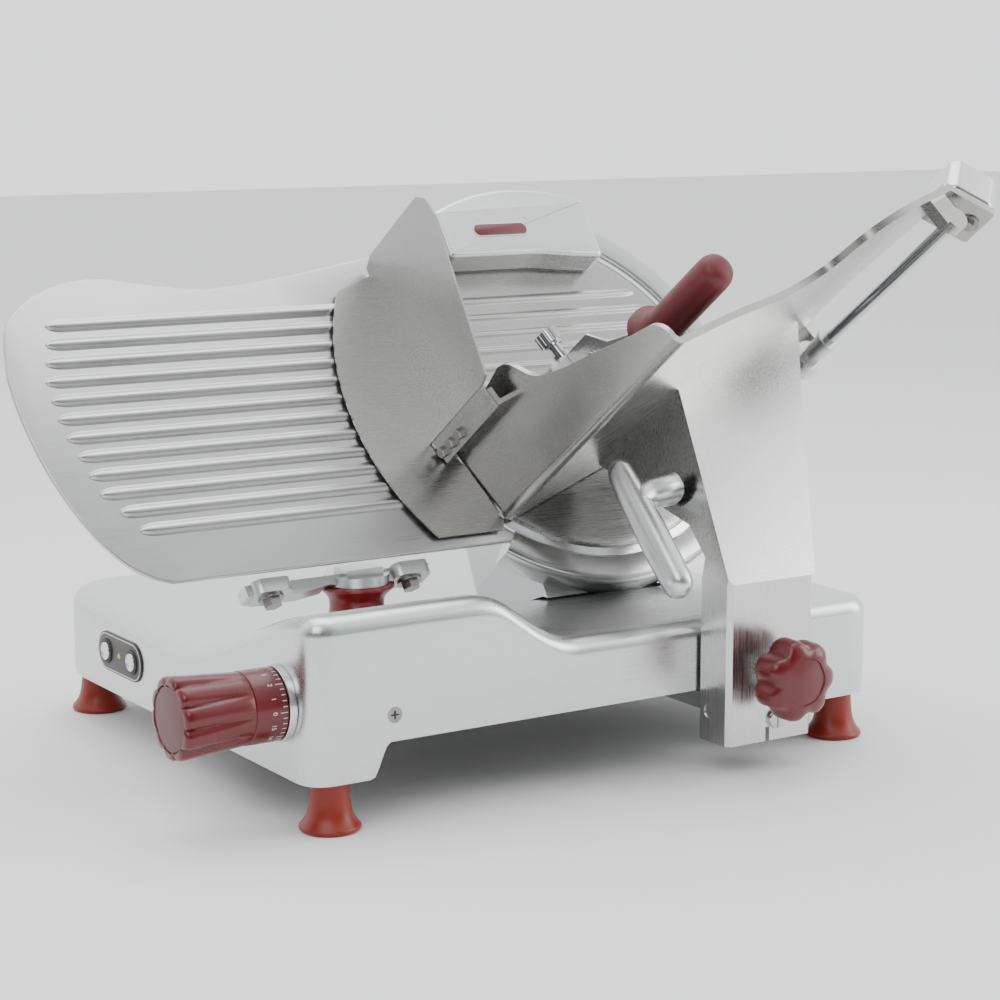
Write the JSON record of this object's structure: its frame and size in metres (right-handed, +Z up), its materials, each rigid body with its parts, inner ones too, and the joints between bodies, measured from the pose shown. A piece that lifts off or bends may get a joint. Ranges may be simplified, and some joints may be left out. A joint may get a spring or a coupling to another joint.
{
  "type": "gravity meat slicer",
  "caption": "Deli slicer with a tilted round blade, gravity-feed tray on a sliding carriage, pusher, adjustable gauge plate, index knob and built-in sharpener.",
  "frame": {"origin": "on the counter under the centre of the bounding box", "axes": "+X along the carriage travel from the operator's end to the rear, +Y from the carriage side to the receiving side, +Z up"},
  "size_m": [0.7818, 0.568, 0.4924],
  "materials": {
    "cast": "cast and satin finished",
    "satin": "satin brushed",
    "steel": "machined",
    "blade_steel": "ground",
    "chrome_rod": "polished",
    "dark_bolt": "oiled",
    "knob": "deep crimson, semi-gloss",
    "grip": "maroon, matte",
    "feet": "orange-red",
    "boot": "red, glossy",
    "panel": "dark grey",
    "button": "satin",
    "lamp": "clear, unlit",
    "black": "black",
    "motor_paint": "dark grey",
    "belt": "black",
    "bronze": "sintered",
    "abrasive": "abrasive",
    "badge": "blank maroon plate"
  },
  "bodies": {
    "base": {"base_casting": "cast", "base_plate": "satin", "rubber_feet": "feet", "foot_bolts": "steel", "switch_panel": "panel", "pilot_lamp": "lamp", "power_inlet": "black", "dial_ring": "satin", "gauge_guide": "steel", "gauge_boot": "boot", "blade_head": "cast", "head_cover": "satin", "bearing_housing": "cast", "blade_bearings": "steel", "motor": "motor_paint", "drive_belt": "belt", "ring_guard": "satin", "blade_cover": "satin", "sharpener_body": "cast", "deflector_pin": "steel", "carriage_rail": "chrome_rod", "roller_track": "steel"},
    "start": {"start_button": "button"},
    "stop": {"stop_button": "button"},
    "index": {"index_knob": "knob", "index_shaft": "steel"},
    "gauge": {"gauge_plate": "satin", "gauge_bracket": "cast", "gauge_post": "steel", "gauge_bolts": "dark_bolt"},
    "blade_unit": {"blade": "blade_steel", "blade_shaft": "steel", "blade_screws": "steel", "blade_pulley": "cast"},
    "rotor": {"motor_pulley": "steel"},
    "cover_lock": {"cover_lock_knob": "black"},
    "sharpener": {"sharpener_cover": "satin", "name_badge": "badge"},
    "grinding": {"grinding_stone": "abrasive"},
    "truing": {"truing_stone": "abrasive"},
    "deflector": {"slice_deflector": "satin"},
    "carriage": {"carriage_slider": "cast", "slider_bushings": "bronze"},
    "roller": {"slide_roller": "black"},
    "arm": {"carriage_arm": "satin", "pivot_pin": "steel", "arm_screw": "chrome_rod", "push_handle": "satin", "product_tray": "satin", "pusher_rod": "chrome_rod", "corner_block": "cast", "tray_bolts": "dark_bolt", "hand_guard": "satin"},
    "carriage_clamp": {"carriage_knob": "knob"},
    "pusher_slide": {"rod_sleeve": "cast"},
    "pusher": {"pusher_arm": "cast", "pusher_plate": "steel", "grip_bar": "steel", "pusher_grip": "grip"},
    "pusher_screw": {"thumb_screw": "chrome_rod"}
  },
  "joints": [
    {"name": "start_press", "type": "slide", "parent": "base", "child": "start", "axis": [1, 0, 0], "range_m": [0, 0.002], "stiffness_N_per_m": 500},
    {"name": "stop_press", "type": "slide", "parent": "base", "child": "stop", "axis": [1, 0, 0], "range_m": [0, 0.002], "stiffness_N_per_m": 500},
    {"name": "index_turn", "type": "hinge", "parent": "base", "child": "index", "pos_m": [-0.264, -0.144, 0.097], "axis": [-1, 0, 0], "range_deg": [0, 330]},
    {"name": "gauge_slide", "type": "slide", "parent": "base", "child": "gauge", "axis": [0, -0.809, 0.5878], "range_m": [-0.012, 0], "deforming": ["gauge_boot"]},
    {"name": "blade_spin", "type": "hinge", "parent": "base", "child": "blade_unit", "pos_m": [0.1207, 0.0384, 0.2903], "axis": [0, -0.809, 0.5878], "continuous": true},
    {"name": "motor_spin", "type": "hinge", "parent": "base", "child": "rotor", "pos_m": [0.1207, -0.04977, 0.16895], "axis": [0, -0.809, 0.5878], "continuous": true},
    {"name": "cover_lock_turn", "type": "hinge", "parent": "base", "child": "cover_lock", "pos_m": [0.1207, 0.0384, 0.2903], "axis": [0, -0.809, 0.5878], "continuous": true},
    {"name": "sharpener_open", "type": "hinge", "parent": "base", "child": "sharpener", "pos_m": [0.1207, 0.14991, 0.44735], "axis": [1, 0, 0], "range_deg": [-60, 0]},
    {"name": "grinding_press", "type": "slide", "parent": "base", "child": "grinding", "axis": [0, -0.809, 0.5878], "range_m": [0, 0.003], "stiffness_N_per_m": 400},
    {"name": "truing_press", "type": "slide", "parent": "base", "child": "truing", "axis": [0, -0.809, 0.5878], "range_m": [-0.003, 0], "stiffness_N_per_m": 500, "springref_m": 0.001},
    {"name": "deflector_open", "type": "hinge", "parent": "base", "child": "deflector", "pos_m": [0.0347, 0.06752, 0.26914], "axis": [0, -0.5878, -0.809], "range_deg": [0, 50]},
    {"name": "carriage_travel", "type": "slide", "parent": "base", "child": "carriage", "axis": [1, 0, 0], "range_m": [-0.29, 0.02]},
    {"name": "roller_spin", "type": "hinge", "parent": "carriage", "child": "roller", "pos_m": [0.141, -0.055, 0.066], "axis": [0, 1, 0], "continuous": true},
    {"name": "carriage_tilt", "type": "hinge", "parent": "carriage", "child": "arm", "pos_m": [0.141, -0.206, 0.052], "axis": [1, 0, 0], "range_deg": [0, 45]},
    {"name": "clamp_turn", "type": "hinge", "parent": "arm", "child": "carriage_clamp", "pos_m": [0.138, -0.232, 0.086], "axis": [0, 1, 0], "continuous": true},
    {"name": "pusher_travel", "type": "slide", "parent": "arm", "child": "pusher_slide", "axis": [0, -0.809, 0.5878], "range_m": [0, 0.17]},
    {"name": "pusher_lift", "type": "hinge", "parent": "pusher_slide", "child": "pusher", "pos_m": [0.33148, 0.01974, 0.26462], "axis": [0, 0.809, -0.5878], "range_deg": [0, 28]},
    {"name": "thumb_turn", "type": "hinge", "parent": "pusher", "child": "pusher_screw", "pos_m": [0.06782, -0.03751, 0.32703], "axis": [-0.342, 0.5523, 0.7602], "continuous": true}
  ],
  "couplings": [
    {"joint": "gauge_slide", "follows": "index_turn", "m_per_rad": -0.0020835},
    {"joint": "motor_spin", "follows": "blade_spin", "ratio": 3}
  ]
}
